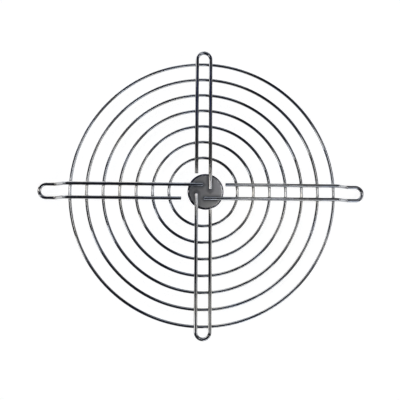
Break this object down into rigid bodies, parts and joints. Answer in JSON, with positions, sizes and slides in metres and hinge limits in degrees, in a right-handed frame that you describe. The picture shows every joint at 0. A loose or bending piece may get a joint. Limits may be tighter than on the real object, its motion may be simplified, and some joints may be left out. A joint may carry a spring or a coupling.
{
  "type": "wire fan guard",
  "caption": "Round wire finger guard for an axial fan: concentric rings and a centre disc welded under four hairpin spokes, two of them stepped down to screw loops.",
  "frame": {"origin": "on the rings' axis, in the plane that the undersides of the two screw loops rest on", "axes": "+Z away from the fan, towards the spokes' outer side; X along the two long stepped spokes; Y along the two short spokes"},
  "size_m": [0.171, 0.1496, 0.0065],
  "materials": {
    "ring_wire": "bright plated steel wire",
    "spoke_wire": "bright plated steel wire",
    "disc": "plated sheet steel, duller than the wire"
  },
  "bodies": {
    "root": {"ring_1": "ring_wire", "ring_2": "ring_wire", "ring_3": "ring_wire", "ring_4": "ring_wire", "ring_5": "ring_wire", "ring_6": "ring_wire", "ring_7": "ring_wire", "stepped_spoke_right": "spoke_wire", "short_spoke_back": "spoke_wire", "stepped_spoke_left": "spoke_wire", "short_spoke_front": "spoke_wire", "centre_disc": "disc"}
  },
  "joints": []
}
